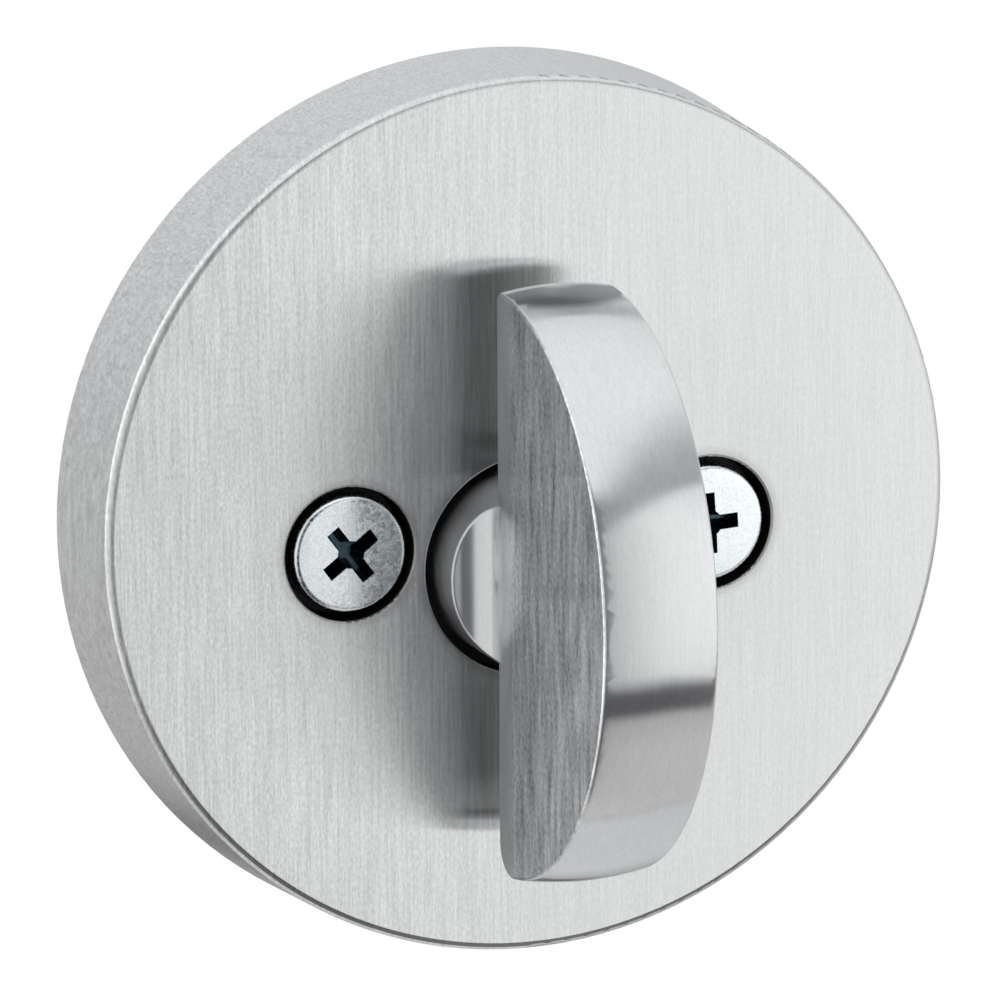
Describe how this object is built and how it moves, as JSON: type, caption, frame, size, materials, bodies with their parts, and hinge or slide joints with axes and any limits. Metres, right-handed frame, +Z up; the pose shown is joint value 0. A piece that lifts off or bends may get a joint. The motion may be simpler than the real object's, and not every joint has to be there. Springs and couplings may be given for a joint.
{
  "type": "single cylinder deadbolt inside trim",
  "caption": "Round satin inside trim of a deadbolt: thick flat rose, half-disc thumbturn on a round neck and long mounting screws.",
  "frame": {"origin": "the turn's axis at the door face, in the middle of the blade socket's mouth", "axes": "+Y along the turn's axis into the door, +Z up, +X to the right of a person who faces the trim from the room"},
  "size_m": [0.0678, 0.081, 0.0678],
  "materials": {
    "satin_nickel": "satin plated zinc casting, brushed upright",
    "zinc_plate": "bright zinc plate",
    "spring_steel": "oiled spring steel",
    "acetal": "black acetal, matte",
    "nylon": "natural nylon",
    "sintered": "sintered steel, dull"
  },
  "bodies": {
    "rose": {"rose_cover": "satin_nickel", "mounting_plate": "zinc_plate", "plate_screw_top": "zinc_plate", "plate_screw_left": "zinc_plate", "plate_screw_right": "zinc_plate", "front_bushing": "acetal", "thrust_washer": "zinc_plate", "stop_pin": "zinc_plate", "mounting_screw_left": "zinc_plate", "mounting_screw_right": "zinc_plate", "screw_retainer_left": "nylon", "screw_retainer_right": "nylon"},
    "turn": {"thumbturn": "satin_nickel", "blade_socket": "sintered", "spring_washer": "spring_steel", "stop_cam": "zinc_plate", "retaining_ring": "spring_steel"}
  },
  "joints": [
    {"name": "turn", "type": "hinge", "parent": "rose", "child": "turn", "pos_m": [0, 0, 0], "axis": [0, 1, 0], "range_deg": [-90, 90]}
  ]
}
